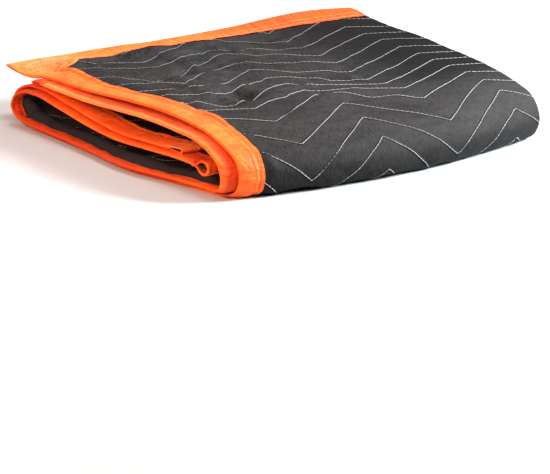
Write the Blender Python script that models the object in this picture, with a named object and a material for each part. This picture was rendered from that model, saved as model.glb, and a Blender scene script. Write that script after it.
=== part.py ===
"""Moving pad: one quilted cloth with orange edge binding, folded in half and then in three.

The cloth is first folded in half across its width, which makes two layers joined by a plain fold at +X.
The pair is then wound like a letter: a top panel, round the front, a bottom panel, round the back, and a
middle panel tucked inside. The outer layer stays on the outside of that winding all the way.

Every shape here is placed by three numbers: the distance along the winding, the distance across the pad
(X), and the lift off the middle of the pair, towards the outer layer.
"""
import bmesh
import bpy
import numpy as np

# Cloth and binding, in metres
CLOTH = 0.0050            # thickness of the quilted cloth
CLOTH_EDGE = 0.0024       # thickness of the cloth where the binding squeezes it
TAPER = 0.004             # length over which the cloth swells from one to the other
GAP = 0.0004              # clearance between two pieces
WEBBING = 0.0009          # thickness of the binding
BINDING_WIDTH = 0.042     # width of the binding on each face
BINDING_NARROW = 0.016    # width of the binding on the outward face of the inner layer's edge
EDGE_INSET = WEBBING + GAP                        # cloth's cut edge, behind the binding's fold
BINDING_HALF = CLOTH_EDGE / 2 + GAP + WEBBING     # half thickness of a bound edge

# How the two layers are out of step at the two short edges
START_SKEW = 0.045        # the inner layer's short edge starts this much later, on top at the back
CORNER_SKEW = 0.042       # the inner layer's free corner lies this much further in, under the outer layer's
END_SKEW = 0.080          # the outer layer's short edge ends this much sooner, inside
SKEW_HOLD = 0.055         # length of winding next to a short edge that is out of step by the whole of that
SKEW_REACH = 0.360        # length of winding past which the layers are in step

# Place of the frame's origin: middle of the footprint, on the surface below
ORIGIN_X = 0.2864
ORIGIN_Y = 0.2928

# Resolution
STEP_LENGTH = 0.062       # longest step along the winding where it runs straight
STEP_ANGLE = 0.20         # turn of the winding, in radians, that one step may take
FLAT_COLUMNS = 5          # columns across each layer, between its binding and the end fold
FOLD_COLUMNS = 5          # columns round the end fold
END_STATIONS = 2          # stations at each short edge that lie inside its own binding
DENSE_STEPS = 40          # samples between two rows of the table
SHARP_ANGLE = 0.9         # edges that turn by more than this, in radians, stay crisp
WIDTH_SPAN = 0.59         # distance across the pad over which the left section turns into the right one

# Finish
CHARCOAL = (0.045, 0.045, 0.048)
ORANGE = (0.90, 0.22, 0.03)
CLOTH_ROUGHNESS = 0.9
WEBBING_ROUGHNESS = 0.6

# The winding, one row for each bend of the pair, from the short edge on top at the back to the one inside.
# y_left, z_left: middle of the pair at the open left end.  y_fold, z_fold: the same at the end fold.
# pitch, pitch_fold: distance between the two layers' middles at each end.  x_outer, x_inner: left edge of
# the outer and the inner layer.  x_fold: outside of the end fold.  bow: how far the middle of the width
# comes forward.
COLUMN_NAMES = ("y_left", "z_left", "y_fold", "z_fold", "pitch", "pitch_fold",
                "x_outer", "x_inner", "x_fold", "bow")
WINDING = (
    # top panel, back to front
    (0.603, 0.0760, 0.570, 0.0930, 0.0070, 0.0240, -0.005, -0.005, 0.618, -0.012),
    (0.558, 0.0700, 0.526, 0.0915, 0.0066, 0.0210, -0.004, -0.006, 0.618, -0.004),
    (0.538, 0.0705, 0.507, 0.0905, 0.0066, 0.0200, -0.004, -0.010, 0.619, 0.000),
    (0.506, 0.0770, 0.478, 0.0892, 0.0065, 0.0180, -0.003, -0.018, 0.621, 0.000),
    (0.440, 0.0790, 0.420, 0.0885, 0.0065, 0.0150, -0.002, -0.022, 0.620, 0.000),
    (0.360, 0.0805, 0.347, 0.0885, 0.0095, 0.0140, -0.001, -0.022, 0.618, 0.000),
    (0.290, 0.0845, 0.285, 0.0870, 0.0110, 0.0140, 0.000, -0.022, 0.616, 0.002),
    (0.200, 0.0880, 0.215, 0.0850, 0.0110, 0.0140, 0.000, -0.022, 0.611, 0.006),
    (0.130, 0.0855, 0.155, 0.0805, 0.0100, 0.0130, 0.000, -0.022, 0.606, 0.012),
    (0.075, 0.0800, 0.110, 0.0735, 0.0075, 0.0130, 0.000, -0.022, 0.603, 0.020),
    # front fold
    (0.040, 0.0690, 0.080, 0.0640, 0.0075, 0.0125, 0.000, -0.022, 0.605, 0.028),
    (0.013, 0.0540, 0.064, 0.0480, 0.0085, 0.0120, 0.001, -0.023, 0.606, 0.034),
    (0.004, 0.0310, 0.060, 0.0290, 0.0085, 0.0120, 0.001, -0.023, 0.607, 0.038),
    (0.010, 0.0145, 0.068, 0.0130, 0.0080, 0.0100, 0.000, -0.022, 0.606, 0.040),
    # bottom panel, front to back
    (0.032, 0.0070, 0.090, 0.0068, 0.0080, 0.0082, -0.004, -0.018, 0.605, 0.036),
    (0.110, 0.0065, 0.150, 0.0065, 0.0080, 0.0080, -0.016, -0.028, 0.603, 0.012),
    (0.225, 0.0065, 0.235, 0.0065, 0.0080, 0.0080, -0.036, -0.049, 0.606, 0.000),
    (0.330, 0.0065, 0.320, 0.0065, 0.0080, 0.0080, -0.027, -0.040, 0.610, 0.000),
    (0.440, 0.0065, 0.410, 0.0065, 0.0080, 0.0080, -0.021, -0.033, 0.614, 0.000),
    (0.500, 0.0072, 0.470, 0.0070, 0.0080, 0.0082, -0.020, -0.032, 0.616, 0.000),
    # back fold
    (0.533, 0.0150, 0.502, 0.0150, 0.0080, 0.0100, -0.024, -0.033, 0.618, 0.000),
    (0.549, 0.0310, 0.517, 0.0330, 0.0080, 0.0100, -0.024, -0.032, 0.619, 0.000),
    (0.545, 0.0470, 0.513, 0.0510, 0.0080, 0.0100, -0.022, -0.030, 0.620, 0.000),
    (0.527, 0.0590, 0.496, 0.0640, 0.0080, 0.0100, -0.019, -0.028, 0.620, 0.000),
    # middle panel, back to front
    (0.495, 0.0630, 0.465, 0.0670, 0.0080, 0.0090, -0.017, -0.027, 0.619, 0.000),
    (0.425, 0.0560, 0.400, 0.0600, 0.0080, 0.0090, -0.016, -0.027, 0.617, 0.000),
    (0.350, 0.0460, 0.335, 0.0500, 0.0075, 0.0085, -0.016, -0.027, 0.612, 0.000),
    (0.280, 0.0405, 0.270, 0.0440, 0.0070, 0.0080, -0.016, -0.027, 0.608, 0.000),
    (0.200, 0.0430, 0.200, 0.0430, 0.0070, 0.0080, -0.016, -0.027, 0.603, 0.000),
    (0.120, 0.0465, 0.140, 0.0430, 0.0070, 0.0080, -0.016, -0.027, 0.599, 0.000),
    (0.038, 0.0452, 0.082, 0.0418, 0.0070, 0.0080, -0.016, -0.027, 0.596, 0.000),
)


def smooth_columns(rows, steps):
    """A cubic curve through the rows of the table, read at evenly spaced places between them."""
    values = np.array(rows)
    run = np.hypot(np.diff(values[:, 0]), np.diff(values[:, 1]))
    knots = np.concatenate(([0.0], np.cumsum(run)))
    slopes = np.gradient(values, knots, axis=0)
    samples = []
    for i, length in enumerate(run):
        t = np.arange(steps)[:, None] / steps
        samples.append((1 + 2 * t) * (1 - t) ** 2 * values[i]
                       + t ** 2 * (3 - 2 * t) * values[i + 1]
                       + length * t * (1 - t) ** 2 * slopes[i]
                       - length * t ** 2 * (1 - t) * slopes[i + 1])
    samples.append(values[-1:])
    return np.concatenate(samples)


def wind():
    """The winding as named columns over the distance along it, flat where it lies on the surface."""
    samples = smooth_columns(WINDING, DENSE_STEPS)
    path = {name: samples[:, i] for i, name in enumerate(COLUMN_NAMES)}
    for height, pitch in (("z_left", "pitch"), ("z_fold", "pitch_fold")):
        path[height] = np.maximum(path[height], (path[pitch] + CLOTH) / 2)
    step = np.hypot(np.diff(path["y_left"]), np.diff(path["z_left"]))
    path["along"] = np.concatenate(([0.0], np.cumsum(step)))
    for name in ("y_left", "z_left", "y_fold", "z_fold"):
        path["d_" + name] = np.gradient(path[name], path["along"])
    return path


PATH = wind()
LENGTH = PATH["along"][-1]


def read(name, along):
    """One column of the winding at the distance along it."""
    return np.interp(along, PATH["along"], PATH[name])


def place(along, x, lift):
    """The point at a distance along the winding, across the pad, and off the middle of the pair."""
    across = x / WIDTH_SPAN
    y, z, dy, dz = ((1 - across) * read(name + "_left", along) + across * read(name + "_fold", along)
                    for name in ("y", "z", "d_y", "d_z"))
    y = y - read("bow", along) * 4 * across * (1 - across)
    size = np.hypot(dy, dz)
    return (x - ORIGIN_X, y + lift * dz / size - ORIGIN_Y, z - lift * dy / size)


def even_stations(first, last):
    """Distances along the winding, close together where it bends and further apart where it runs flat."""
    heading = np.unwrap(np.arctan2(PATH["d_z_left"], PATH["d_y_left"]))
    effort = np.diff(PATH["along"]) / STEP_LENGTH + np.abs(np.diff(heading)) / STEP_ANGLE
    total = np.concatenate(([0.0], np.cumsum(effort)))
    start, stop = np.interp((first, last), PATH["along"], total)
    return np.interp(np.linspace(start, stop, int(stop - start) + 1), total, PATH["along"])


def stations():
    """The cloth's stations, from one short edge to the other, with those that its bindings also use."""
    bound = BINDING_WIDTH + GAP
    ends = [EDGE_INSET, BINDING_WIDTH / 2, bound]
    middle = even_stations(bound + TAPER, LENGTH - bound - TAPER)
    return [*ends, *middle, *(LENGTH - end for end in reversed(ends))]


def out_of_step(station, share):
    """Moves a station along the winding, because the layers' short edges lie out of step.

    share runs across the unfolded cloth, from 0 at the outer layer's long edge to 1 at the inner layer's."""
    fade = SKEW_REACH - SKEW_HOLD
    start = START_SKEW * share + CORNER_SKEW * np.maximum(2 * share - 1, 0)
    start = start * np.clip((SKEW_REACH - station) / fade, 0, 1)
    end = END_SKEW * (1 - share) * np.clip((SKEW_REACH - LENGTH + station) / fade, 0, 1)
    return station + start - end


class Column:
    """A place on the middle of the cloth, and the way from there to its outward face."""

    def __init__(self, station, side, inset, share_of_flat=0.0, turn=None):
        """side is 1 on the outer layer and -1 on the inner one. inset is the distance from the layer's long
        edge. share_of_flat moves the place on towards the end fold, and turn, in radians, round it."""
        share = 0.5 if turn is not None else (1 - side * (1 - share_of_flat)) / 2
        self.along = out_of_step(station, share)
        radius = read("pitch_fold", self.along) / 2
        edge = read("x_outer" if side > 0 else "x_inner", self.along)
        centre = read("x_fold", self.along) - radius - CLOTH / 2
        if turn is None:
            self.x = edge + inset + (centre - edge - inset) * share_of_flat
            opening = read("pitch", self.along) / 2
            self.lift = side * (opening + (radius - opening) * self.x / centre)
            self.out_x, self.out_lift = 0.0, side
        else:
            self.out_x, self.out_lift = np.sin(turn), np.cos(turn)
            self.x = centre + self.out_x * radius
            self.lift = self.out_lift * radius
        self.from_edge = self.x - edge

    def point(self, out):
        """The point that lies that far outwards from the middle of the cloth."""
        return place(self.along, self.x + self.out_x * out, self.lift + self.out_lift * out)


def columns_at(station, first_inset):
    """Columns across the doubled cloth, from the outer layer's edge round the fold to the inner layer's."""
    bound = BINDING_WIDTH + GAP
    insets = [first_inset, BINDING_NARROW, bound, bound + TAPER]
    shares = np.arange(1, FLAT_COLUMNS + 1) / FLAT_COLUMNS
    layers = []
    for side in (1, -1):
        layer = [Column(station, side, inset) for inset in insets]
        layer += [Column(station, side, insets[-1], share_of_flat=share) for share in shares]
        layers.append(layer)
    turns = np.pi * np.arange(1, FOLD_COLUMNS + 1) / (FOLD_COLUMNS + 1)
    fold = [Column(station, 1, 0.0, turn=turn) for turn in turns]
    return layers[0] + fold + layers[1][::-1]


def make_cloth():
    """The quilted cloth as one closed sheet, thin at all four edges, where the bindings squeeze it."""
    loops = []
    for station in stations():
        from_end = min(station, LENGTH - station)
        outward, inward = [], []
        for column in columns_at(station, EDGE_INSET):
            past_binding = min(column.from_edge, from_end) - BINDING_WIDTH - GAP
            swell = np.clip(past_binding / TAPER, 0, 1)
            half = (CLOTH_EDGE + (CLOTH - CLOTH_EDGE) * swell) / 2
            outward.append(column.point(half))
            inward.append(column.point(-half))
        loops.append(outward + inward[::-1])
    return sleeve("pad", loops)


def channel(width_outward, width_inward, steps):
    """The binding's cross-section: (distance from the edge, way out), round the outside and back inside."""
    def flanges(fold, half):
        outward = [(inset, half) for inset in np.linspace(width_outward, fold, steps + 1)]
        inward = [(inset, -half) for inset in np.linspace(fold, width_inward, steps + 1)]
        return outward + inward
    return flanges(0.0, BINDING_HALF) + flanges(WEBBING, BINDING_HALF - WEBBING)[::-1]


def make_long_binding(name, side, width_outward):
    """The binding along one layer's long edge, between the two that run along the short edges."""
    section = channel(width_outward, BINDING_WIDTH, 1)
    clear_of_ends = stations()[END_STATIONS:-END_STATIONS]
    loops = [[Column(station, side, inset).point(out) for inset, out in section]
             for station in clear_of_ends]
    return sleeve(name, loops)


def make_end_binding(name, station_at):
    """The binding along one short edge, through both layers and round the end fold between them."""
    section = channel(BINDING_WIDTH, BINDING_WIDTH, 2)
    rows = [[column.point(out) for column in columns_at(station_at(inset), 0.0)] for inset, out in section]
    return sleeve(name, list(zip(*rows)))


def sleeve(name, loops):
    """A solid from a row of closed loops. The first half of a loop is one skin, and the second half is the
    other, run backwards, so the solid's two ends are closed by joining its skins."""
    count = len(loops[0])
    vertices = [point for loop in loops for point in loop]
    faces = []
    for first in range(0, (len(loops) - 1) * count, count):
        for i in range(count):
            j = (i + 1) % count
            faces.append((first + i, first + j, first + count + j, first + count + i))
    for first in (0, (len(loops) - 1) * count):
        for i in range(count // 2 - 1):
            faces.append((first + i, first + i + 1, first + count - 2 - i, first + count - 1 - i))
    mesh = bpy.data.meshes.new(name)
    mesh.from_pydata(vertices, [], faces)
    face_outwards(mesh)
    mesh.shade_smooth()
    mesh.set_sharp_from_angle(angle=SHARP_ANGLE)
    piece = bpy.data.objects.new(name, mesh)
    bpy.context.scene.collection.objects.link(piece)
    return piece


def face_outwards(mesh):
    """Turns every face of a closed mesh the same way, outwards."""
    shape = bmesh.new()
    shape.from_mesh(mesh)
    bmesh.ops.recalc_face_normals(shape, faces=shape.faces)
    shape.to_mesh(mesh)
    shape.free()


def dress(piece, material_name, colour, roughness):
    """Gives a piece its own plain cloth material."""
    material = bpy.data.materials.new(material_name)
    material.use_nodes = True
    surface = material.node_tree.nodes["Principled BSDF"]
    surface.inputs["Base Color"].default_value = (*colour, 1.0)
    surface.inputs["Roughness"].default_value = roughness
    surface.inputs["Metallic"].default_value = 0.0
    piece.data.materials.append(material)


def main():
    for item in list(bpy.data.objects):
        bpy.data.objects.remove(item, do_unlink=True)
    dress(make_cloth(), "charcoal_cloth", CHARCOAL, CLOTH_ROUGHNESS)
    bindings = (
        make_long_binding("binding_long_outer", 1, BINDING_WIDTH),
        make_long_binding("binding_long_inner", -1, BINDING_NARROW),
        make_end_binding("binding_end_outer", lambda inset: inset),
        make_end_binding("binding_end_inner", lambda inset: LENGTH - inset),
    )
    for binding in bindings:
        dress(binding, binding.name + "_webbing", ORANGE, WEBBING_ROUGHNESS)


main()
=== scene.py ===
"""Looks of the folded moving pad: quilted charcoal cloth, zigzag stitching and orange edge binding.

Every soft shape is drawn on the cloth first, and then folded. A place on the cloth has two numbers:
station, the distance from the short edge that lies on top, and fold, which runs across the doubled cloth:
0 to 1 over the outer layer, 1 to 2 round the end fold and 2 to 3 back over the inner layer.
"""
import math

import bpy
import numpy as np
from mathutils import Matrix, Vector


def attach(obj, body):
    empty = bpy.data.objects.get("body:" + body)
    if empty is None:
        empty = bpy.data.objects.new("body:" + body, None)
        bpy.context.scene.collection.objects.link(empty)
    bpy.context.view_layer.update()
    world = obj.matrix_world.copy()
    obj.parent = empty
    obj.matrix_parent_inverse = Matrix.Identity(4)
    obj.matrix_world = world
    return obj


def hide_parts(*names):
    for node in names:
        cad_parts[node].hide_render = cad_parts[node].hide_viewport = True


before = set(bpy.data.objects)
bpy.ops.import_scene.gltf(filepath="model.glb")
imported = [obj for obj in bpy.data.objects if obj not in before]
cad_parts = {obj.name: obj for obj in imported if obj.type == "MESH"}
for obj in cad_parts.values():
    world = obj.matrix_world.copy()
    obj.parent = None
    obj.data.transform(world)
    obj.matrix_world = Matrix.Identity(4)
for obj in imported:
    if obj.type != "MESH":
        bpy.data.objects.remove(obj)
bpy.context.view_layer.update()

MILLIMETRES = 1000  # in a metre

# ---- sizes, in metres, as in the solid model
CLOTH = 0.005  # thickness of the quilted cloth
CLOTH_EDGE = 0.0024  # thickness of the cloth where the binding squeezes it
GAP = 0.0004  # clearance between a binding and the cloth
WEBBING = 0.0009  # thickness of the binding
BINDING_WIDTH = 0.042  # width of the binding on each face
BINDING_NARROW = 0.016  # width of the binding on the outward face of the inner layer's edge
EDGE_INSET = WEBBING + GAP  # cloth's cut edge, behind the binding's fold
BINDING_HALF = CLOTH_EDGE / 2 + GAP + WEBBING  # half thickness of a bound edge
START_SKEW = 0.045  # the inner layer's short edge starts this much later, on top at the back
CORNER_SKEW = 0.042  # and its free corner this much later still
END_SKEW = 0.08  # the outer layer's short edge ends this much sooner, inside
SKEW_HOLD = 0.055  # length of winding next to a short edge that is wholly out of step
SKEW_REACH = 0.36  # length of winding past which the layers are in step
ORIGIN_X = 0.2864  # place of the frame's origin, which is the middle of the footprint
ORIGIN_Y = 0.2928
WIDTH_SPAN = 0.59  # distance across the pad over which the left section turns into the right one
DENSE_STEPS = 40  # samples between two rows of the table

# ---- sizes of the cloth as it lies flat
LAYER_WIDTH = 0.62  # about the width of one layer, which turns a fold value into a distance
FOLD_MIDDLE = 1.5  # fold value halfway round the end fold
FOLD_LAST = 3  # fold value at the inner layer's long edge

# One row, in millimetres, for each bend of the pair of layers, from the short edge on top to the one inside.
# y, z: middle of the pair at the open left end and at the end fold.  pitch: distance between the layers'
# middles there.  x: left edges, and outside of the end fold.  bow: how far mid-width comes forward.
COLUMN_NAMES = ("y_left", "z_left", "y_fold", "z_fold", "pitch", "pitch_fold",
                "x_outer", "x_inner", "x_fold", "bow")
WINDING = (
    # top panel, back to front
    (603, 76, 570, 93, 7, 24, -5, -5, 618, -12),
    (558, 70, 526, 91.5, 6.6, 21, -4, -6, 618, -4),
    (538, 70.5, 507, 90.5, 6.6, 20, -4, -10, 619, 0),
    (506, 77, 478, 89.2, 6.5, 18, -3, -18, 621, 0),
    (440, 79, 420, 88.5, 6.5, 15, -2, -22, 620, 0),
    (360, 80.5, 347, 88.5, 9.5, 14, -1, -22, 618, 0),
    (290, 84.5, 285, 87, 11, 14, 0, -22, 616, 2),
    (200, 88, 215, 85, 11, 14, 0, -22, 611, 6),
    (130, 85.5, 155, 80.5, 10, 13, 0, -22, 606, 12),
    (75, 80, 110, 73.5, 7.5, 13, 0, -22, 603, 20),
    # front fold
    (40, 69, 80, 64, 7.5, 12.5, 0, -22, 605, 28),
    (13, 54, 64, 48, 8.5, 12, 1, -23, 606, 34),
    (4, 31, 60, 29, 8.5, 12, 1, -23, 607, 38),
    (10, 14.5, 68, 13, 8, 10, 0, -22, 606, 40),
    # bottom panel, front to back
    (32, 7, 90, 6.8, 8, 8.2, -4, -18, 605, 36),
    (110, 6.5, 150, 6.5, 8, 8, -16, -28, 603, 12),
    (225, 6.5, 235, 6.5, 8, 8, -36, -49, 606, 0),
    (330, 6.5, 320, 6.5, 8, 8, -27, -40, 610, 0),
    (440, 6.5, 410, 6.5, 8, 8, -21, -33, 614, 0),
    (500, 7.2, 470, 7, 8, 8.2, -20, -32, 616, 0),
    # back fold
    (533, 15, 502, 15, 8, 10, -24, -33, 618, 0),
    (549, 31, 517, 33, 8, 10, -24, -32, 619, 0),
    (545, 47, 513, 51, 8, 10, -22, -30, 620, 0),
    (527, 59, 496, 64, 8, 10, -19, -28, 620, 0),
    # middle panel, back to front
    (495, 63, 465, 67, 8, 9, -17, -27, 619, 0),
    (425, 56, 400, 60, 8, 9, -16, -27, 617, 0),
    (350, 46, 335, 50, 7.5, 8.5, -16, -27, 612, 0),
    (280, 40.5, 270, 44, 7, 8, -16, -27, 608, 0),
    (200, 43, 200, 43, 7, 8, -16, -27, 603, 0),
    (120, 46.5, 140, 43, 7, 8, -16, -27, 599, 0),
    (38, 45.2, 82, 41.8, 7, 8, -16, -27, 596, 0),
)

# ---- quilting
ROW_PITCH = 0.0507  # distance between rows of stitching
ROW_FIRST = 0.024  # a row's far corner, from the short edge on top
ZIGZAG_DEPTH = 0.0735  # how far a row swings
ZIGZAG_HALF = 0.142  # distance across the cloth between a far corner and the next near one
ZIGZAG_CORNER = 0.547  # where a far corner lies, across the outer layer
ZIGZAG_SLIDE = 0.05  # how far the zigzag has slid towards the end fold, at the back left
FRONT_DEPTH = 0.027  # how much further the rows swing round the front fold
ROW_CROWDING = 0.026  # how much the rows crowd towards the front fold
ROW_WANDER = 0.001  # how far a row strays from its zigzag
ROW_PASSES = 10  # passes in which the row's number at a place is found
ROW_DAMPING = 0.8  # share of the error that each of them takes off
PANEL_END = 0.64  # station where the top panel and the front fold end
PUFF = 0.0016  # how far the cloth swells between rows
DITCH = 0.07  # how wide the trough along a row is, as a share of half a row's pitch
SWELL_REACH = 0.008  # distance from a binding at which the cloth has its whole thickness
FLOOR_GAP = 0.0002  # nothing lies lower than this

# ---- thread
QUILT_STITCH = (0.0068, 0.0007)  # length of a stitch, and the gap to the next one
BINDING_STITCH = (0.004, 0.0012)
TACK_STITCH = (0.0046, 0.0005)
THREAD = 0.00042  # half the thread's thickness
TACK_THREAD = 0.00032
THREAD_HEIGHT = 0.8  # a thread's height, as a share of its width
THREAD_RISE = 0.9  # how far a stitch's middle rises, in half widths
TAPER = ((0, 0.55), (0.22, 1), (0.78, 1), (1, 0.55))  # places along a stitch and its width there
RING = ((1, 0), (0, 1), (-1, 0), (0, -1))  # the four sides of a thread
SEAM_RISE = 0.0002  # how far a seam lies above its binding, and the quilting above the cloth
QUILT_RISE = 0.0003
UNDER = 0.002  # how far the lower points of a line of stitches lie under its upper ones
SUNK = 0.0009  # how far the quilting sinks out of sight in places
SHADE_STEP = 0.137  # how far the tone moves on from one stitch to the next
SMALL = 1e-9  # the least length that is divided by


# ---- seeded noise and easing
class Noise:
    """Smooth noise between -1 and 1 over a plane, the same on each run."""

    SIZE = 128

    def __init__(self, seed):
        self.lattice = np.random.default_rng(seed).uniform(-1, 1, (self.SIZE, self.SIZE))

    def __call__(self, a, b):
        a, b = np.broadcast_arrays(np.asarray(a, float), np.asarray(b, float))
        i, j = np.floor(a).astype(int), np.floor(b).astype(int)
        s, t = ease(a - i), ease(b - j)
        i, j, k, m = i % self.SIZE, j % self.SIZE, (i + 1) % self.SIZE, (j + 1) % self.SIZE
        near = self.lattice[i, j] * (1 - s) + self.lattice[k, j] * s
        far = self.lattice[i, m] * (1 - s) + self.lattice[k, m] * s
        return near * (1 - t) + far * t


def ease(t):
    t = np.clip(t, 0, 1)
    return t * t * (3 - 2 * t)


def rising(value, low, high):
    """0 up to low and 1 from high on, with a smooth rise between them."""
    return ease((value - low) / (high - low))


def falling(value, low, high):
    return 1 - rising(value, low, high)


def bump(value, centre, reach):
    """1 at the centre, fading smoothly to nothing."""
    return np.exp(-((value - centre) / reach) ** 2)


# ---- the winding
def smooth_columns(rows, steps):
    """The table's columns along smooth curves through its rows, with some steps between two rows."""
    values = np.array(rows) / MILLIMETRES
    run = np.hypot(np.diff(values[:, 0]), np.diff(values[:, 1]))
    knots = np.concatenate(([0.0], np.cumsum(run)))
    slopes = np.gradient(values, knots, axis=0)
    samples = []
    for i, length in enumerate(run):
        t = np.arange(steps)[:, None] / steps
        samples.append((1 + 2 * t) * (1 - t) ** 2 * values[i]
                       + t ** 2 * (3 - 2 * t) * values[i + 1]
                       + length * t * (1 - t) ** 2 * slopes[i]
                       - length * t ** 2 * (1 - t) * slopes[i + 1])
    samples.append(values[-1:])
    return np.concatenate(samples)


def wind():
    """The winding: each column of the table, the distance along it and the way it runs."""
    samples = smooth_columns(WINDING, DENSE_STEPS)
    path = {name: samples[:, i] for i, name in enumerate(COLUMN_NAMES)}
    for height, pitch in (("z_left", "pitch"), ("z_fold", "pitch_fold")):
        path[height] = np.maximum(path[height], (path[pitch] + CLOTH) / 2)
    step = np.hypot(np.diff(path["y_left"]), np.diff(path["z_left"]))
    path["along"] = np.concatenate(([0.0], np.cumsum(step)))
    for name in ("y_left", "z_left", "y_fold", "z_fold"):
        path["d_" + name] = np.gradient(path[name], path["along"])
    return path


PATH = wind()
LENGTH = PATH["along"][-1]


def read(name, along):
    """A column's value at distances along the winding."""
    return np.interp(along, PATH["along"], PATH[name])


def section(along, outer):
    """Radius and centre of the end fold, and the place of a layer's long edge."""
    radius = read("pitch_fold", along) / 2
    edge = np.where(outer, read("x_outer", along), read("x_inner", along))
    return radius, read("x_fold", along) - radius - CLOTH / 2, edge


HOLLOW = Noise(11)
SAG = 0.004  # how far the top panel sags in its middle
ROLLING = 0.0015  # height of the top panel's unevenness
ROLLING_FINE = 0.0011
END_CALM = 0.8  # how much less rumpled the cloth is towards the end fold
FRONT_CALM = 0.82  # and on the front fold

# in millimetres: height of a hill or hollow, its place and reach along the winding, and the same across
HILLS = (
    (-8, 380, 75, 380, 150),  # broad hollow before the front fold
    (6.5, 465, 45, 220, 130),  # crest of the front fold
    (6.5, -10, 55, 500, 160),  # the back edge lifts
    (6, -10, 60, 530, 85),
    (-2.6, 0, 45, 240, 150),
    (2, 205, 50, 610, 120),  # ridge along the end fold
    (-15, 385, 28, 160, 21),  # dent
    (4, 360, 18, 122, 20),  # its lip
    (4.5, 110, 70, 62, 24),  # the cloth stands up beside its bindings
    (8, 57, 19, 215, 145),
    (6.4, 58, 16, 88, 26),
    (-3.6, 58, 18, 155, 16),
    (-3, 60, 20, 262, 20),
    (-7.5, 215, 22, 115, 60),  # creases across the rumpled side
    (6, 250, 20, 170, 70),
    (-7, 292, 18, 230, 70),
    (5.5, 330, 20, 120, 50),
    (-6.2, 420, 22, 105, 35),
    (5, 150, 20, 240, 80),
    (-5.8, 105, 20, 330, 70),
    (-4, 447, 11, 240, 55),  # puckers along the crest
    (3.6, 466, 11, 270, 60),
    (-4, 486, 10, 300, 70),
    (3, 504, 10, 350, 60),
)


def rumpling(x, along):
    """1 where the cloth is rumpled, at the open left end, and less towards the smooth end fold and front."""
    front = rising(along, 0.425, 0.475) * falling(along, 0.62, 0.66) * rising(x, 0.03, 0.09)
    return (1 - END_CALM * rising(x, 0.34, 0.56)) * (1 - FRONT_CALM * front)


def settle(along, x):
    """How far the top panel lies above or below the plain winding: hollows, a raised back edge, dents."""
    height = -SAG * bump(along, 0.27, 0.14) * rising(x, 0.1, 0.4) * falling(x, 0.46, 0.58)
    for rise, place_along, reach_along, place_x, reach_x in np.array(HILLS) / MILLIMETRES:
        height = height + rise * bump(along, place_along, reach_along) * bump(x, place_x, reach_x)
    rolling = ROLLING * HOLLOW(along / 0.075, x / 0.11) + ROLLING_FINE * HOLLOW(along / 0.03 + 40, x / 0.05)
    return falling(along, 0.5, 0.6) * (height + rolling * rising(x, 0, 0.12) * rumpling(x, along))


class Place:
    """Places on the middle of the cloth: arrays of station and fold, which are broadcast together."""

    PASSES = 3  # passes in which the distance along the winding is found

    def __init__(self, station, fold):
        station, fold = np.broadcast_arrays(np.asarray(station, float), np.asarray(fold, float))
        self.station = station
        self.side = np.where(fold < FOLD_MIDDLE, 1.0, -1.0)
        flat = np.minimum(np.minimum(fold, FOLD_LAST - fold), 1)
        turn = np.clip(fold - 1, 0, 1) * np.pi
        turning = (fold > 1) & (fold < 2)
        inset = BINDING_WIDTH + GAP
        self.along = station
        for _ in range(self.PASSES):
            radius, centre, edge = section(self.along, self.side > 0)
            x = edge + (centre - edge) * flat
            passed = np.clip((x - edge - inset) / (centre - edge - inset), 0, 1)
            share = np.where(self.side > 0, passed / 2, 1 - passed / 2)
            self.along = out_of_step(station, share)
        opening = read("pitch", self.along) / 2
        self.x = np.where(turning, centre + np.sin(turn) * radius, x)
        self.lift = np.where(turning, np.cos(turn) * radius,
                             self.side * (opening + (radius - opening) * x / centre))
        self.out_x = np.where(turning, np.sin(turn), 0.0)
        self.out_lift = np.where(turning, np.cos(turn), self.side)
        self.from_edge = self.x - edge
        self.from_end = np.minimum(station, LENGTH - station)
        beyond = np.where(fold < 2, centre + radius * turn, 2 * centre + np.pi * radius - x)
        self.across = np.where(fold <= 1, x, beyond)

    def point(self, out):
        """The points that lie that far outwards from the middle of the cloth, as an array of (x, y, z)."""
        x = self.x + self.out_x * out
        lift = self.lift + self.out_lift * out
        share = x / WIDTH_SPAN
        y, z, dy, dz = ((1 - share) * read(name + "_left", self.along)
                        + share * read(name + "_fold", self.along) for name in ("y", "z", "d_y", "d_z"))
        y = y - read("bow", self.along) * 4 * share * (1 - share)
        size = np.hypot(dy, dz)
        y = y + lift * dz / size
        z = z - lift * dy / size + settle(self.along, x)
        return np.stack((x - ORIGIN_X, y - ORIGIN_Y, np.maximum(z, FLOOR_GAP)), axis=-1)


def out_of_step(station, share):
    """Distance along the winding of a station. share: 0 at the outer layer's long edge, 1 at the inner's."""
    fade = SKEW_REACH - SKEW_HOLD
    start = START_SKEW * share + CORNER_SKEW * np.maximum(2 * share - 1, 0)
    start = start * np.clip((SKEW_REACH - station) / fade, 0, 1)
    end = END_SKEW * (1 - share) * np.clip((SKEW_REACH - LENGTH + station) / fade, 0, 1)
    return station + start - end


def fold_at_inset(station, side, inset):
    """The fold value that lies a distance from a layer's long edge."""
    centre, edge = section(out_of_step(station, 0.0 if side > 0 else 1.0), side > 0)[1:]
    share = inset / (centre - edge)
    return share if side > 0 else FOLD_LAST - share


# ---- rows of stitching
WANDER = Noise(5)


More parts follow.
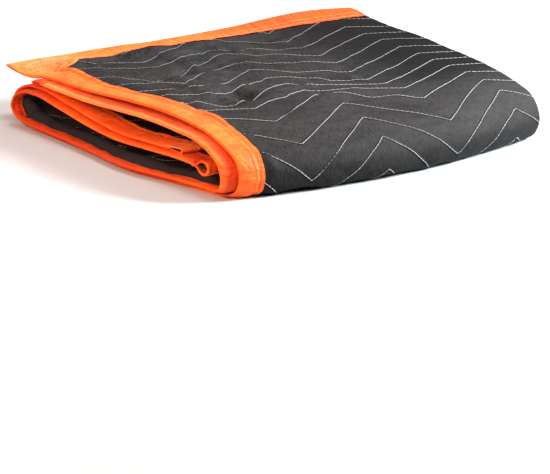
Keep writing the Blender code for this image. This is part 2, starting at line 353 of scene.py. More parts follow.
def row_station(row, across):
    """Station of a row of stitching, whole or in between, at places across the cloth."""
    base = ROW_FIRST + ROW_PITCH * row
    slide = ZIGZAG_SLIDE * falling(base, -0.03, 0.27) * falling(across, 0.26, 0.56)
    swing = np.abs(((across - slide - ZIGZAG_CORNER) / ZIGZAG_HALF + 1) % 2 - 1)
    deeper = FRONT_DEPTH * rising(base, 0.41, 0.51) * falling(base, 0.7, 0.85)
    even = base + (ZIGZAG_DEPTH + deeper) * swing
    crowd = ROW_CROWDING * np.sin(np.pi * np.clip(even / PANEL_END, 0, 1))
    return even + crowd + ROW_WANDER * WANDER(across / 0.035, base / 0.03)


def row_number(station, across):
    """The row's number at any place, whole on a row and halfway between two rows at a half."""
    row = (station - ROW_FIRST) / ROW_PITCH
    for _ in range(ROW_PASSES):
        row = row + (station - row_station(row, across)) / ROW_PITCH * ROW_DAMPING
    return row


PUFFING = Noise(3)
CREASE = Noise(8)
PUFF_SHAPE = 0.65  # below 1, the cloth rises steeply beside a row and is flat between two of them
PUFF_LEVEL = 0.55  # puffs are reckoned from here, as a share of their height
PUFF_VARIETY = 0.7  # how much fatter or leaner some of them are
CALM_PUFF = 0.3  # share of the puffs that is left where the cloth is smooth
END_TAUT = 0.7  # how much of them goes at the end fold
WAVERING = 1.6  # how much the creases wander
CREASE_ACROSS = 0.0023  # heights of the creases across the pad, of the fine ones and of those along it
CREASE_FINE = 0.0009
CREASE_ALONG = 0.002
CREASE_FADE = 0.08  # how much sooner than the rumpling the creases fade out
ROLL_HEIGHT = 0.0075  # the inner layer's cloth rolls out this far beside its narrow binding
ROLL_PLACE = 0.034  # distance of that roll from the layer's edge, and its reach
ROLL_REACH = 0.013


def half_thickness(bound):
    """Half the plain cloth's thickness, by the distance from a binding."""
    return (CLOTH_EDGE + (CLOTH - CLOTH_EDGE) * ease(bound / SWELL_REACH)) / 2


def quilted(place):
    """How far the outward face stands off the cloth's middle."""
    station, across = place.station, place.across
    narrow = (place.side < 0) * rising(station, 0.46, 0.54) * falling(station, 1.3, 1.36)
    width = BINDING_WIDTH + (BINDING_NARROW + 0.001 - BINDING_WIDTH) * narrow
    bound = np.minimum(place.from_edge - width, place.from_end - BINDING_WIDTH) - GAP
    rumple = rumpling(place.x, place.along)
    row = row_number(station, across)
    away = np.hypot(np.abs(row - np.round(row)) * 2, DITCH)
    fat = 1 + PUFF_VARIETY * rumple * PUFFING(station / 0.05, across / 0.07)
    puff = PUFF * (1 - END_TAUT * rising(place.x, 0.5, 0.58)) * (CALM_PUFF + (1 - CALM_PUFF) * rumple)
    puff = puff * (away ** PUFF_SHAPE * fat - PUFF_LEVEL)
    wavering = WAVERING * CREASE(station / 0.06 + 50, across / 0.09)
    crease = (CREASE_ACROSS * CREASE(station / 0.017 + wavering, across / 0.055)
              + CREASE_FINE * CREASE(station / 0.008 + wavering + 30, across / 0.024)
              + CREASE_ALONG * CREASE(station / 0.06 + 70, across / 0.019 + wavering))
    crease = crease * ((1 + CREASE_FADE) * rumple - CREASE_FADE)
    relief = (puff + crease) * rising(bound, 0.002, 0.018)
    relief = relief + ROLL_HEIGHT * narrow * bump(place.from_edge, ROLL_PLACE, ROLL_REACH)
    return half_thickness(bound) + ease(bound / SWELL_REACH) * relief


# ---- meshes
def make_mesh(name, points, faces, maps):
    """An object from points, faces and named coordinate maps, one pair for each point."""
    mesh = bpy.data.meshes.new(name)
    mesh.from_pydata(points.reshape(-1, 3), [], faces)
    corners = np.empty(len(mesh.loops), dtype=np.int32)
    mesh.loops.foreach_get("vertex_index", corners)
    for map_name, values in maps.items():
        layer = mesh.uv_layers.new(name=map_name)
        layer.data.foreach_set("uv", np.asarray(values, np.float32).reshape(-1, 2)[corners].ravel())
    mesh.shade_smooth()
    return link(name, mesh)


def tube_faces(rings, count, first_skin):
    """Faces of a row of closed rings and of its ends. first_skin counts the points on one ring's outside."""
    first = np.arange(rings - 1)[:, None] * count
    i = np.arange(count)[None, :]
    j = (i + 1) % count
    quads = np.stack((first + i, first + j, first + count + j, first + count + i), axis=-1).reshape(-1, 4)
    faces = quads.tolist()
    for start, flip in ((0, 1), ((rings - 1) * count, -1)):
        faces += [face[::flip] for face in end_faces(start, first_skin, count)]
    return faces


def end_faces(start, first_skin, count):
    """Triangles between the two skins of one ring, which may have different numbers of points."""
    outward = range(start, start + first_skin)
    inward = range(start + count - 1, start + first_skin - 1, -1)
    last_i, last_j = len(outward) - 1, len(inward) - 1
    faces, i, j = [], 0, 0
    while i < last_i or j < last_j:
        a, b = outward[i], inward[j]
        if j >= last_j or (i < last_i and (i + 1) / last_i <= (j + 1) / last_j):
            i += 1
            faces.append((b, outward[i], a))
        else:
            j += 1
            faces.append((b, inward[j], a))
    return faces


def zones(first, *parts):
    """Places one after another: each part gives where it ends and about how far apart its places are."""
    places = [[first]]
    for last, step in parts:
        places.append(np.linspace(first, last, max(1, int(round((last - first) / step))) + 1)[1:])
        first = last
    return np.concatenate(places)


CORNER_STOP = 0.016  # the cloth stops this far short of the rolled corners of its inner end
CORNER_PINCH = 0.01  # share by which the cloth is narrower at the free short edge's flattened corners


def drawn_in(station, fold):
    """Stations of the cloth, which stops short of the two rolled corners of the inner end."""
    from_side = np.minimum(fold, FOLD_LAST - fold) * WIDTH_SPAN
    return station - CORNER_STOP * falling(from_side, 0.016, 0.038) * rising(station, LENGTH - 0.05, LENGTH)


def held_in(station, fold):
    """Fold values of the cloth, which is narrower in the flattened ends of the free short edge's strip."""
    return FOLD_MIDDLE + (fold - FOLD_MIDDLE) * (1 - CORNER_PINCH * falling(station, 0.034, 0.044))


def make_pad():
    # Rings of points run across the cloth and back behind it. They lie closest where the cloth shows.
    stations = zones(EDGE_INSET, (0.62, 0.0026), (0.68, 0.005), (1.1, 0.015), (1.27, 0.006),
                     (LENGTH - EDGE_INSET, 0.013))[:, None]
    edge = EDGE_INSET / LAYER_WIDTH
    last = FOLD_LAST - edge
    outward = np.concatenate((np.linspace(edge, 1, 164), np.linspace(1, 2, 14)[1:-1],
                              np.linspace(2, 2.87, 28), np.linspace(2.87, last, 27)[1:]))
    inward = np.concatenate((np.linspace(edge, 1, 22), np.linspace(1, 2, 8)[1:-1], np.linspace(2, last, 22)))
    out, back = (Place(drawn_in(stations, folds), held_in(stations, folds))
                 for folds in (outward, inward[::-1]))
    behind = -half_thickness(np.minimum(back.from_edge, back.from_end) - BINDING_WIDTH - GAP)
    points = np.concatenate((out.point(quilted(out)), back.point(behind)), axis=1)
    across = np.concatenate((out.across, back.across), axis=1)
    station = np.concatenate((out.station, back.station), axis=1)
    flat = np.stack((across, station), -1)
    rows = np.stack((across, row_number(station, across)), -1)
    faces = tube_faces(len(stations), points.shape[1], len(outward))
    return make_mesh("pad_cloth", points, faces, {"flat": flat, "rows": rows})


GATHER = Noise(21)
EDGE_WAVE = Noise(22)
# Lines that a flange is drawn with, as shares of the way from its rim to its inner edge
SHARES = (1, 0.988, 0.95, 0.9, 0.865, 0.83, 0.795, 0.74, 0.68, 0.62, 0.56, 0.48, 0.4, 0.31, 0.22, 0.13)
SEAM_SHARE = 0.83  # where a binding's stitching runs, as such a share
RIM_STEPS = 12  # steps round the rim
RUCKLE = 0.00105  # how far a binding ruckles
FINE_RUCKLE = 0.55  # share of its close gathers, how much less of them the lip has, and of its wide ones
LIP_CALM = 0.3
WIDE_RUCKLE = 0.9
EDGE_FINE = 0.0004  # how far the inner edge wavers
EDGE_BROAD = 0.0019
CROWN = 0.001  # how far a flange swells between rim and seam, and rises at its lip
LIP = 0.0004
GROOVE = 0.0009  # depth of the groove along the seam
OVER_CLOTH = 0.002  # how much higher a wide flange lies where it laps over the quilting


class Binding:
    """A strip folded over an edge, drawn as rings: one ring at each place of its run along that edge.

    place_at(run, inset) gives the places at a distance from the bound edge. widths are those of the outward
    and inward flange, and wave is how wavy their inner edges are. The rest vary along the run: how much the
    strip ruckles, how far its rim is rolled open, how flat it is pressed, how much wider its outward flange
    is, how far that swells, and how much thicker the strip is."""

    def __init__(self, run, place_at, widths, seed, wave=1, ruckle=1, loop=0, squeeze=1, wider=0,
                 pillow=0, hem=0):
        self.run, self.place_at, self.widths, self.seed, self.wave = run, place_at, widths, seed, wave
        even = np.ones_like(run)
        self.ruckle = RUCKLE * ruckle * even
        self.half = BINDING_HALF + loop * even
        self.squeeze = squeeze * even
        self.wider = wider * even
        self.pillow = pillow * even
        self.hem = hem * even

    def reach(self, sign):
        """Width of one flange along the run, with its wavy inner edge."""
        width = self.widths[0] + self.wider if sign > 0 else self.widths[1]
        fine = EDGE_WAVE(self.run / 0.0095, 3 * sign + self.seed)
        broad = EDGE_WAVE(self.run / 0.034, 9 + sign + self.seed)
        return width + (EDGE_FINE * fine + EDGE_BROAD * broad) * self.wave

    def flange(self, sign, share, thick=0.0):
        """Distance from the edge and way out of one line of a flange, along the whole run."""
        inset = np.maximum(self.reach(sign) * share, self.half)
        close = GATHER(self.run / 0.0065, 5 * sign + share * 1.1 + self.seed)
        wide = GATHER(self.run / 0.021, 30 + 5 * sign + share * 1.8 + self.seed)
        lip = rising(share, 0.8, 1)
        ruckle = self.ruckle * ((FINE_RUCKLE - LIP_CALM * lip) * close + WIDE_RUCKLE * wide)
        crown = CROWN * np.sin(np.pi * np.clip(share / 0.86, 0, 1)) + LIP * lip
        groove = -GROOVE * bump(share, SEAM_SHARE, 0.035) * (1 + 0.5 * close)
        if sign > 0:
            over_cloth = OVER_CLOTH * rising(inset, BINDING_WIDTH - 0.003, BINDING_WIDTH + 0.005)
            crown = crown + over_cloth + self.pillow * pillow_shape(share)
        near_rim = np.clip(1 - ((inset - self.half) / (1.6 * self.half + 0.001)) ** 2, 0, 1) ** 0.7
        settled = np.clip((inset - self.half) / 0.004, 0, 1)
        depth = BINDING_HALF + (self.half - BINDING_HALF) * near_rim
        thick = np.minimum(thick, depth - 0.0003)
        return inset, sign * (depth + (crown + ruckle + groove) * settled - thick) * self.squeeze

    def skin(self, thick):
        """One skin of the strip, from the outward flange's inner edge round the rim to the inward one's."""
        if thick:
            thick = thick + self.hem
        lines = [self.flange(1, share, thick) for share in SHARES]
        for turn in np.linspace(0, np.pi, RIM_STEPS + 1):
            radius = self.half - thick
            lines.append((self.half - radius * np.sin(turn), radius * np.cos(turn) * self.squeeze))
        lines += [self.flange(-1, share, thick) for share in reversed(SHARES)]
        return [np.stack(part, 1) for part in zip(*lines)]

    def mesh(self, name):
        inset, out = (np.concatenate((outer, inner[:, ::-1]), axis=1)
                      for outer, inner in zip(self.skin(0.0), self.skin(WEBBING)))
        points = self.place_at(self.run[:, None], inset).point(out)
        flat = np.stack((np.broadcast_to(self.run[:, None], inset.shape), np.sign(out) * inset), -1)
        count = points.shape[1]
        return make_mesh(name, points, tube_faces(len(self.run), count, count // 2), {"flat": flat})

    def seam(self, sign, share):
        """Points along a line of stitching on one flange, and points just under them."""
        inset, out = self.flange(sign, share)
        place = self.place_at(self.run, inset)
        return place.point(out + sign * SEAM_RISE), place.point(out - sign * UNDER)


def pillow_shape(share):
    """How the free corner's outward flange swells, on the way from its rim to its inner edge."""
    return bump(share, 0.78, 0.34)


# Places along a long strip where it ruckles more, how much and how far to each side
GATHERED = ((1.17, 1.4, 0.06), (0.12, 0.3, 0.12), (0.47, 0.4, 0.05))
LONG_RUCKLE = 0.9  # how much it ruckles elsewhere
END_PRESS = 0.42  # how much flatter its ends are, inside the end strips
MITRE = 0.04  # how much wider it is under the overlap at the free corner
CORNER_WIDER = 0.008  # how much wider it shows beside that corner, and on the front fold
CREST_WIDER = 0.009
END_WAVE = 0.4  # how wavy the end strips' inner edges are
CORNER_PILLOW = 0.002  # how far the free corner swells
# Of the inner end's two corners, outer layer first: how far the rim is rolled open and how thick its lip is
ROLLED_OPEN = (0.0018, 0.0084)
ROLLED_LIP = (0.001, 0.003)


def long_binding(side, width_out, seed):
    start = BINDING_WIDTH - 0.008
    run = zones(start, (0.66, 0.0021), (1.08, 0.0036), (1.26, 0.0021), (LENGTH - start, 0.0032))

    def place_at(station, inset):
        return Place(station, fold_at_inset(station, side, inset))

    from_end = np.minimum(run, LENGTH - run)
    ruckle = LONG_RUCKLE + sum(more * bump(run, place, reach) for place, more, reach in GATHERED)
    squeeze = 1 - END_PRESS * falling(from_end, BINDING_WIDTH - 0.003, BINDING_WIDTH + 0.002)
    shape = {"ruckle": ruckle, "squeeze": squeeze}
    if side > 0:
        shape["wider"] = (MITRE * falling(run, 0.06, 0.086) + CORNER_WIDER * bump(run, 0.1, 0.06)
                          + CREST_WIDER * bump(run, 0.475, 0.028))
    return Binding(run, place_at, (width_out, BINDING_WIDTH), seed, **shape)


def end_binding(at_start, seed):
    folds = np.concatenate((zones(0, (0.02, 0.0016), (1, 0.0036)), np.linspace(1, 2, 15)[1:-1],
                            zones(2, (2.98, 0.0042), (FOLD_LAST, 0.0016))))
    run = folds * LAYER_WIDTH

    def place_at(where, inset):
        return Place(inset if at_start else LENGTH - inset, np.interp(where, run, folds))

    from_side = np.minimum(run, run[-1] - run)
    if at_start:
        rounding = np.clip(0.1 + from_side / 0.006, 0, 1)
        shape = {"squeeze": np.sqrt(1 - (1 - rounding) ** 2),
                 "pillow": CORNER_PILLOW * falling(run, 0.045, 0.09) * rising(run, 0, 0.02)}
    else:
        layer = (run > run[-1] / 2).astype(int)
        shape = {"loop": np.array(ROLLED_OPEN)[layer] * bump(from_side, 0.0, 0.06),
                 "hem": np.array(ROLLED_LIP)[layer] * bump(from_side, 0.0, 0.006)}
    return Binding(run, place_at, (BINDING_WIDTH, BINDING_WIDTH), seed, END_WAVE, **shape)


# ---- thread
def stitch_mesh(name, starts, middles, ends, sideways, lift, half):
    """Stitches as small spindles: each lies on the cloth, rises in its middle and dives at both ends."""
    bend = 2 * middles - (starts + ends) / 2
    rings = []
    for t, size in TAPER:
        base = starts * (1 - t) ** 2 + 2 * t * (1 - t) * bend + ends * t ** 2
        if 0 < t < 1:
            base = base + lift * half * THREAD_RISE
        for a, b in RING:
            rings.append(base + (sideways * a + lift * THREAD_HEIGHT * b) * half * size)
    points = np.stack(rings, axis=1)
    points[..., 2] = np.maximum(points[..., 2], FLOOR_GAP)
    count, corners = points.shape[:2]
    sides = len(RING)
    ring = np.arange(corners - sides)
    beside = ring - ring % sides + (ring + 1) % sides
    body = np.stack((ring, beside, beside + sides, ring + sides), -1)
    caps = np.stack((np.arange(sides)[::-1], np.arange(corners - sides, corners)))
    offset = np.arange(count)[:, None, None] * corners
    faces = (offset + body).reshape(-1, 4).tolist() + (offset + caps).reshape(-1, sides).tolist()
    flat = np.zeros((count, corners, 2))
    flat[..., 0] = (np.arange(count)[:, None] * SHADE_STEP) % 1
    flat[..., 1] = np.repeat(np.array(TAPER)[:, 0], sides)
    return make_mesh(name, points, faces, {"flat": flat})


def unit(vectors):
    return vectors / np.maximum(np.linalg.norm(vectors, axis=-1, keepdims=True), SMALL)


def lay_stitches(surface, under, inside, stitch):
    """Stitches along a line of points: their starts, middles and ends, and which way is sideways and up."""
    step = np.linalg.norm(np.diff(surface, axis=0), axis=1)
    length = np.concatenate(([0.0], np.cumsum(step)))
    first = np.arange(int(length[-1] / sum(stitch))) * sum(stitch)
    marks = [np.interp(first + share * stitch[0], length, np.arange(len(surface))) for share in (0, 0.5, 1)]
    keep = inside[np.round(marks[0]).astype(int)] & inside[np.round(marks[2]).astype(int)]
    spots = []
    for mark in marks:
        i = np.floor(mark).astype(int).clip(0, len(surface) - 2)
        t = (mark - i)[:, None]
        spots.append((surface[i] * (1 - t) + surface[i + 1] * t)[keep])
    i = np.round(marks[1]).astype(int)
    up = unit(surface[i] - under[i])[keep]
    side = unit(np.cross(up, spots[2] - spots[0]))
    return (*spots, side, up)


def sewn(name, rows, half):
    """One piece of thread from all its rows of stitches."""
    return stitch_mesh(name, *(np.concatenate(group) for group in zip(*rows)), half)


SINKING = Noise(14)
LINE_POINTS = 2400  # points that a row of quilting is worked out at
LINE_PASSES = 4  # passes in which its course is found
CUT_OFF = 0.002  # rows are worked out up to here from the short edges
UNDER_BINDING = 0.003  # they run this far under the bindings


def make_quilting_thread():
    rows = []
    folds = np.linspace(0, FOLD_LAST, LINE_POINTS)
    hidden = BINDING_WIDTH - UNDER_BINDING
    for row in range(-2, int((LENGTH + 0.05) / ROW_PITCH) + 1):
        station = np.full_like(folds, ROW_FIRST + ROW_PITCH * max(row, 0))
        for _ in range(LINE_PASSES):
            place = Place(np.clip(station, CUT_OFF, LENGTH - CUT_OFF), folds)
            station = row_station(row, place.across)
        inside = (place.from_edge > hidden) & (station > hidden) & (station < LENGTH - hidden)
        place = Place(np.clip(station, CUT_OFF, LENGTH - CUT_OFF), folds)
        sunk = SUNK * rising(SINKING(station / 0.055, place.across / 0.05), 0.45, 0.75)
        out = quilted(place) + QUILT_RISE - sunk * falling(place.x, 0.2, 0.3)
        rows.append(lay_stitches(place.point(out), place.point(out - UNDER), inside, QUILT_STITCH))
    return sewn("quilting_thread", rows, THREAD)


LEAF_RUN = (0.012, 0.112)  # where the leaf of stitches starts and ends along the free short edge
LEAF_INSET = (0.033, 0.044)  # and how far from that edge its middle lies there
LEAF_HALF = 0.019  # half its greatest width
LEAF_POINT = 0.8  # how pointed it is
LEAF_RISE = 0.0016  # how far it lies above the webbing's outside
CROSSINGS = 22
LEAN = 0.06  # how far a crossing stitch leans, as a share of the leaf's length


def leaf(t, side):
    """Places on the leaf: t runs from its stem to its tip, and side from -1 to 1 across its widest part."""
    run = LEAF_RUN[0] + (LEAF_RUN[1] - LEAF_RUN[0]) * t
    return run, LEAF_INSET[0] + (LEAF_INSET[1] - LEAF_INSET[0]) * t + LEAF_HALF * side


def leaf_width(t):
    return np.sin(np.pi * t) ** LEAF_POINT


def make_tacks(name, binding):
    """Crossing stitches in the shape of a leaf that hold the bindings' overlap at the free corner."""
    lines = []
    slant = np.linspace(0, LEAN, 9) * 0.9
    for first in np.linspace(0.0, 0.94, CROSSINGS):
        side = leaf_width(np.clip(first + 0.03, 0.02, 0.98)) * np.linspace(-1, 1, 9)
        lines += [leaf(first + LEAN + slant, side), leaf(first + LEAN - slant, side)]
    t = np.linspace(0, 1, 60)
    lines += [leaf(t, sign * leaf_width(t)) for sign in (-1, 1)]
    rows = []
    for run, inset in lines:
        out = BINDING_HALF + LEAF_RISE + 1.1 * CORNER_PILLOW * pillow_shape(inset / BINDING_WIDTH)
        place = binding.place_at(run, inset)
        everywhere = np.ones(len(run), bool)
        rows.append(lay_stitches(place.point(out), place.point(out - UNDER), everywhere, TACK_STITCH))
    return sewn(name, rows, TACK_THREAD)


SEAM_SPACING = 0.17  # distance between a wide flange's two lines of stitching, as a share of its width
NARROW_SHIFT = 0.1  # how much nearer the rim the narrow flange's only line is
UNPRESSED = 0.9  # seams run where the strip isn't pressed flatter than this


def make_binding_thread(name, bindings):
    """Two lines of stitching along each flange that is wide enough, and one on the narrow one."""
    rows = []
    for binding in bindings:
        for sign, width in zip((1, -1), binding.widths):
            wide = width > BINDING_NARROW
            for share in (SEAM_SHARE, SEAM_SHARE - SEAM_SPACING) if wide else (SEAM_SHARE - NARROW_SHIFT,):
                inside = binding.squeeze > UNPRESSED
                rows.append(lay_stitches(*binding.seam(sign, share), inside, BINDING_STITCH))
    return sewn(name, rows, THREAD)


# ---- materials
class Nodes:
    """A short way to write the nodes of a material or the sky."""

    def __init__(self, name, family=bpy.data.materials):
        self.owner = family.new(name)
        self.owner.use_nodes = True
        self.tree = self.owner.node_tree

    def add(self, kind, inputs=None, **settings):
        node = self.tree.nodes.new(kind)
        for key, value in settings.items():
            setattr(node, key, value)
        for key, value in (inputs or {}).items():
            self.set(node, key, value)
        return node

    def set(self, node, key, value):
        socket = node.inputs[key]
        if isinstance(value, bpy.types.NodeSocket):
            self.tree.links.new(value, socket)
        else:
            socket.default_value = value

    def shade(self, values, shader="Principled BSDF"):
        """Sets the sockets of the shader, and gives the finished material or sky."""
        for key, value in values.items():
            self.set(self.tree.nodes[shader], key, value)
        return self.owner

    def map(self, name):
        return self.add("ShaderNodeUVMap", uv_map=name).outputs[0]

    def object_place(self):
        return self.add("ShaderNodeTexCoord").outputs["Object"]

    def math(self, operation, a, b=0):
        return self.add("ShaderNodeMath", {0: a, 1: b, 2: 0}, operation=operation).outputs[0]

    def times(self, a, b):
        return self.math("MULTIPLY", a, b)

    def plus(self, a, b):
        return self.math("ADD", a, b)

    def weighted(self, *parts):
        """The sum of some values, each times its weight."""
        total = None
        for value, weight in parts:
            part = self.times(value, weight)
            total = part if total is None else self.plus(total, part)
        return total

    def split(self, vector):
        return self.add("ShaderNodeSeparateXYZ", {0: vector}).outputs

    def noise(self, vector, scale, detail, roughness):
        """Noise with its own scale along each axis."""
        vector = self.add("ShaderNodeVectorMath", {0: vector, 1: scale}, operation="MULTIPLY").outputs[0]
        inputs = {"Vector": vector, "Scale": 1, "Detail": detail, "Roughness": roughness}
        return self.add("ShaderNodeTexNoise", inputs).outputs["Fac"]

    def mix(self, factor, first, second):
        node = self.add("ShaderNodeMix", data_type="RGBA")
        self.set(node, 0, factor)
        for socket, value in ((6, first), (7, second)):
            self.set(node, socket, value if isinstance(value, bpy.types.NodeSocket) else (*value, 1))
        return node.outputs[2]

    def ramp(self, value, low, high, bottom=0, top=1):
        node = self.add("ShaderNodeMapRange", {0: value, 1: low, 2: high, 3: bottom, 4: top},
                        interpolation_type="SMOOTHSTEP")
        return node.outputs[0]

    def bump(self, height, distance, strength, normal=None):
        inputs = {"Height": height, "Distance": distance, "Strength": strength}
        if normal is not None:
            inputs["Normal"] = normal
        return self.add("ShaderNodeBump", inputs).outputs[0]


TWILL = 0.0024  # distance between the cloth's ribs, and how steeply they slant
TWILL_SLANT = 0.55
WEB = 0.0013  # distance between the webbing's yarns
THREAD_TWIST = 44  # turns of the thread's strands in a stitch, in radians
LONG_FRONT = (0.44, 0.5)  # stations where the top panel turns into the front
FOOT = (0.56, 0.62)  # and where the front turns under


def cloth_material():
    n = Nodes("charcoal_cloth")
    flat = n.map("flat")
    rows = n.map("rows")
    across, along = n.split(flat)[:2]
    away = n.math("PINGPONG", n.split(rows)[1], 0.5)
    rib = n.math("SINE", n.times(n.plus(along, n.times(across, TWILL_SLANT)), 2 * math.pi / TWILL))
    yarn = n.noise(flat, (900, 260, 1), 2, 0.6)
    fuzz = n.noise(flat, (260, 420, 1), 4, 0.72)
    streak = n.noise(flat, (520, 95, 1), 2, 0.6)
    rumple = n.noise(flat, (22, 75, 1), 3, 0.6)
    blotch = n.noise(flat, (9, 16, 1), 3, 0.55)
    pucker = n.noise(flat, (95, 38, 1), 2, 0.5)
    # where the cloth is rumpled, and masks for painted shade, a painted highlight and painted light
    # painted shade in the trough beside each row of stitching
    painted_row_shade = n.ramp(away, 0, 0.11, 1, 0)
    front = n.ramp(along, *LONG_FRONT)
    rumpled = n.times(n.ramp(across, 0.14, 0.38, 1, 0.12), n.math("SUBTRACT", 1, front))
    # painted shade on the top panel's far side, towards the end fold, and on the foot where the front turns
    # under
    painted_shade = n.times(n.ramp(across, 0.34, 0.54), n.ramp(along, 0.4, 0.52, 1, 0))
    painted_shade = n.math("MAXIMUM", painted_shade, n.times(n.ramp(along, *FOOT), 0.42))
    # painted highlight on the crest of the front fold
    painted_highlight = n.times(n.ramp(along, 0.48, 0.54), n.ramp(along, *FOOT, 1, 0))
    painted_highlight = n.times(painted_highlight, n.ramp(across, 0.34, 0.48, 0, 0.17))
    # painted light: the inner layer, which lies in the shade of the tunnel, is lighter and greyer
    painted_inner_light = n.ramp(across, 0.8, 0.84)
    shade = n.plus(n.weighted((blotch, 0.16), (fuzz, 0.36), (rib, 0.075)),
                   n.weighted((streak, 0.42), (rumple, 0.14)))
    plain = n.mix(n.ramp(shade, 0.48, 0.6), (0.001, 0.001, 0.0012), (0.0285, 0.0283, 0.0287))
    worn = n.mix(n.ramp(shade, 0.47, 0.61), (0.0016, 0.0016, 0.002), (0.03, 0.0296, 0.0302))
    colour = n.mix(rumpled, plain, worn)
    # darkened by that painted shade
    colour = n.mix(n.times(painted_shade, 0.9), colour, (0.001, 0.001, 0.0011))
    # lightened by that painted highlight
    colour = n.mix(painted_highlight, colour, (0.048, 0.048, 0.049))
    # darkened beside the rows: painted shade
    colour = n.mix(n.times(painted_row_shade, 0.6), colour, (0.002, 0.002, 0.0022))
    # lightened by that painted light
    colour = n.mix(n.times(painted_inner_light, 0.75), colour, (0.023, 0.025, 0.03))
    roughness = n.ramp(fuzz, 0.2, 0.8, 0.64, 0.8)
    normal = n.times(n.times(pucker, n.ramp(away, 0, 0.3, 1, 0.25)), rumpled)
    normal = n.bump(normal, 0.005, 0.75)
    normal = n.bump(n.times(rumple, rumpled), 0.012, 0.6, normal)
    normal = n.bump(n.ramp(away, 0, 0.07), 0.0012, 0.8, normal)
    normal = n.bump(n.plus(n.times(rib, 0.7), yarn), 0.00016, 0.6, normal)
    normal = n.bump(n.times(fuzz, rumpled), 0.0011, 0.6, normal)
    return n.shade({"Base Color": colour, "Roughness": roughness, "IOR": 1.2, "Specular IOR Level": 0.5,
                    "Sheen Weight": 0.004, "Sheen Roughness": 0.45, "Sheen Tint": (0.78, 0.77, 0.8, 1),
                    "Normal": normal})


def binding_material(name, pale, shade_start, shade_colour):
    """Orange webbing. pale is the distance along it where its painted sheen fades out, and shade_start where
    its painted shade, darker and redder, sets in.
    """
    n = Nodes(name)
    flat = n.map("flat")
    along, inset = n.split(flat)[:2]
    warp = n.math("SINE", n.times(along, 2 * math.pi / WEB))
    weft = n.math("SINE", n.times(inset, 2 * math.pi / WEB))
    weave = n.times(warp, weft)
    ruckle = n.noise(flat, (110, 30, 1), 3, 0.55)
    crumple = n.noise(flat, (42, 60, 1), 3, 0.6)
    tone = n.noise(flat, (16, 30, 1), 3, 0.55)
    fuzz = n.noise(flat, (420, 420, 1), 3, 0.6)
    worn = n.weighted((ruckle, 0.5), (tone, 0.5))
    colour = n.mix(n.ramp(worn, 0.34, 0.64), (0.8, 0.078, 0.0055), (0.92, 0.15, 0.017))
    colour = n.mix(n.ramp(fuzz, 0.45, 0.75, 0, 0.16), colour, (0.92, 0.2, 0.05))
    # painted sheen: paler up to the distance pale along the run
    colour = n.mix(n.ramp(along, pale, pale + 0.16, 0.55, 0), colour, (0.96, 0.27, 0.07))
    # painted shade: darker and redder from shade_start on, and fading out again from 1.24 on
    painted_red_shade = n.times(n.ramp(along, shade_start, shade_start + 0.25, 0, 0.85), n.ramp(along, 1.24, 1.36, 1, 0))
    colour = n.mix(painted_red_shade, colour, shade_colour)
    # painted shade: the inward side, where inset is negative, is darker and redder
    colour = n.mix(n.ramp(inset, -0.012, -0.003, 0.8, 0), colour, (0.55, 0.036, 0.003))
    roughness = n.ramp(tone, 0.2, 0.8, 0.52, 0.64)
    gathers = n.noise(flat, (260, 26, 1), 2, 0.5)
    normal = n.bump(ruckle, 0.0046, 0.75)
    normal = n.bump(crumple, 0.006, 0.6, normal)
    normal = n.bump(gathers, 0.0012, 0.6, normal)
    normal = n.bump(weave, 0.0001, 0.5, normal)
    return n.shade({"Base Color": colour, "Roughness": roughness, "IOR": 1.25, "Specular IOR Level": 0.5,
                    "Sheen Weight": 0.07, "Sheen Roughness": 0.35, "Sheen Tint": (1, 0.76, 0.46, 1),
                    "Normal": normal})


def thread_material(name, colour, dark, back_shade=0):
    """Thread. back_shade is how much of its colour goes towards a darker tone at the back of the top:
    painted shade, as in the photo.
    """
    n = Nodes(name)
    flat = n.map("flat")
    tone = n.noise(flat, (40, 9, 1), 2, 0.6)
    twist = n.math("SINE", n.times(n.split(flat)[1], THREAD_TWIST))
    colour = n.mix(n.ramp(tone, 0.3, 0.7), dark, colour)
    # painted shade: darker towards the back of the top
    back = n.ramp(n.split(n.object_place())[1], -0.1, 0.14, 0, back_shade)
    colour = n.mix(back, colour, tuple(0.5 * part for part in dark))
    roughness = n.ramp(tone, 0.2, 0.8, 0.45, 0.6)
    return n.shade({"Base Color": colour, "Roughness": roughness, "Specular IOR Level": 0.15,
                    "Normal": n.bump(twist, 0.0003, 0.4)})


def floor_material():
    n = Nodes("pale_floor")
    grain = n.noise(n.object_place(), (3, 3, 3), 2, 0.5)
    colour = n.mix(grain, (0.47, 0.52, 0.545), (0.49, 0.54, 0.565))
    return n.shade({"Base Color": colour, "Roughness": 0.9, "Specular IOR Level": 0.1})


# ---- floor, light and camera
FLOOR_HALF = 30.0
LIGHT_AIM = Vector((0, 0, 0.05))
WHITE = (1, 1, 1)
# name, place, size in metres, power in watts and colour
LIGHTS = (
    ("key", (1.85, -1.15, 1.15), 0.9, 235, WHITE),
    ("top", (0.1, 0.3, 2), 0.8, 16, WHITE),
    ("fill", (-2, -0.4, 0.95), 0.9, 62, (1, 0.52, 0.36)),
    ("crest", (1.55, 0.1, 1.55), 0.5, 18, WHITE),
)
# dim at the horizon and brighter overhead
SKY = {"From Min": 0.25, "From Max": 0.9, "To Min": 0.03, "To Max": 0.75}
CAMERA_AZIMUTH = math.radians(-36.466)
CAMERA_ELEVATION = math.radians(15.228)
CAMERA_ROLL = math.radians(1.412)
CAMERA_DISTANCE = 8
CAMERA_AIM = Vector((0.0013, 0.0043, -0.1627))
CAMERA_LENS = 343.5
CAMERA_SENSOR = 36
CAMERA_CLIP = (0.1, 100)


def link(name, data):
    thing = bpy.data.objects.new(name, data)
    bpy.context.scene.collection.objects.link(thing)
    return thing


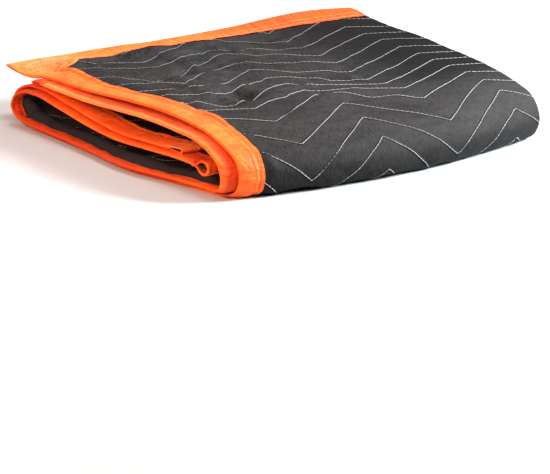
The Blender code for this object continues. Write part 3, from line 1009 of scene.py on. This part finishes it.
def make_floor():
    corners = ((-1, -1, 0), (1, -1, 0), (1, 1, 0), (-1, 1, 0))
    floor = make_mesh("floor", FLOOR_HALF * np.array(corners), [(0, 1, 2, 3)], {})
    floor.data.materials.append(floor_material())


def make_sky():
    n = Nodes("studio", bpy.data.worlds)
    height = n.split(n.add("ShaderNodeTexCoord").outputs["Generated"])["Z"]
    strength = n.add("ShaderNodeMapRange", {"Value": height, **SKY}).outputs["Result"]
    bpy.context.scene.world = n.shade({"Color": (*WHITE, 1), "Strength": strength}, "Background")


def make_light():
    make_sky()
    for name, place, size, power, colour in LIGHTS:
        data = bpy.data.lights.new(name, "AREA")
        data.shape = "DISK"
        data.size = size
        data.energy = power
        data.color = colour
        light = link(name, data)
        light.location = place
        light.rotation_mode = "QUATERNION"
        light.rotation_quaternion = (LIGHT_AIM - Vector(place)).to_track_quat("-Z", "Y")
    view = bpy.context.scene.view_settings
    view.view_transform = "Standard"
    view.look = "None"


def make_camera():
    x, y = math.cos(CAMERA_AZIMUTH), math.sin(CAMERA_AZIMUTH)
    level = math.cos(CAMERA_ELEVATION)
    back = Vector((y * level, -x * level, math.sin(CAMERA_ELEVATION)))
    right = Vector((x, y, 0))
    up = back.cross(right)
    c, s = math.cos(CAMERA_ROLL), math.sin(CAMERA_ROLL)
    right, up = right * c + up * s, up * c - right * s
    data = bpy.data.cameras.new("camera")
    data.sensor_fit = "HORIZONTAL"
    data.sensor_width = CAMERA_SENSOR
    data.lens = CAMERA_LENS
    data.clip_start, data.clip_end = CAMERA_CLIP
    camera = link("camera", data)
    turn = Matrix((right, up, back)).transposed().to_4x4()
    camera.matrix_world = Matrix.Translation(CAMERA_AIM + back * CAMERA_DISTANCE) @ turn
    bpy.context.scene.camera = camera


# ---- everything together
def finish_piece(piece, material, slot, *nodes):
    piece.data.materials.append(material)
    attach(piece, "root")
    if nodes:
        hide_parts(*nodes)


def main():
    make_camera()
    make_light()
    make_floor()
    cloth = cloth_material()
    # after each name: where its painted sheen fades out, where its painted red shade starts, and that
    # shade's colour
    ends = binding_material("orange_ends", 0.04, 0.25, (0.84, 0.048, 0.004))
    orange = {
        "binding_end_outer": ends,
        "binding_end_inner": ends,
        "binding_long_outer": binding_material("orange_outer_side", 0, 0.62, (0.44, 0.034, 0.003)),
        "binding_long_inner": binding_material("orange_inner_side", 0.4, 0.62, (0.44, 0.034, 0.003)),
    }
    white = thread_material("white_thread", (0.54, 0.57, 0.59), (0.3, 0.32, 0.33), 0.7)
    peach = thread_material("peach_thread", (0.95, 0.4, 0.2), (0.8, 0.2, 0.07))
    pale = thread_material("pale_thread", (0.95, 0.58, 0.4), (0.9, 0.36, 0.18))
    # the long bindings' thread: real stitching, painted dark red-brown as the shade in its stitch holes
    seam_shade = thread_material("seam_shade_thread", (0.55, 0.08, 0.02), (0.3, 0.03, 0.008))

    pad = make_pad()
    finish_piece(pad, cloth, "cloth", "pad")
    # the last number of each picks its own stretch of the seeded noise
    strips = {
        "binding_long_outer": long_binding(1, BINDING_WIDTH, 0),
        "binding_long_inner": long_binding(-1, BINDING_NARROW, 17),
        "binding_end_outer": end_binding(True, 33),
        "binding_end_inner": end_binding(False, 51),
    }
    thread = make_quilting_thread()
    finish_piece(thread, white, "cloth")
    for name, material in (("long", seam_shade), ("end", peach)):
        chosen = [strip for node, strip in strips.items() if name in node]
        finish_piece(make_binding_thread(name + "_binding_thread", chosen), material, "binding")
    finish_piece(make_tacks("corner_tacks", strips["binding_end_outer"]), pale, "binding")
    for node, strip in strips.items():
        binding = strip.mesh(node.replace("binding_", "") + "_binding")
        finish_piece(binding, orange[node], "binding", node)


main()
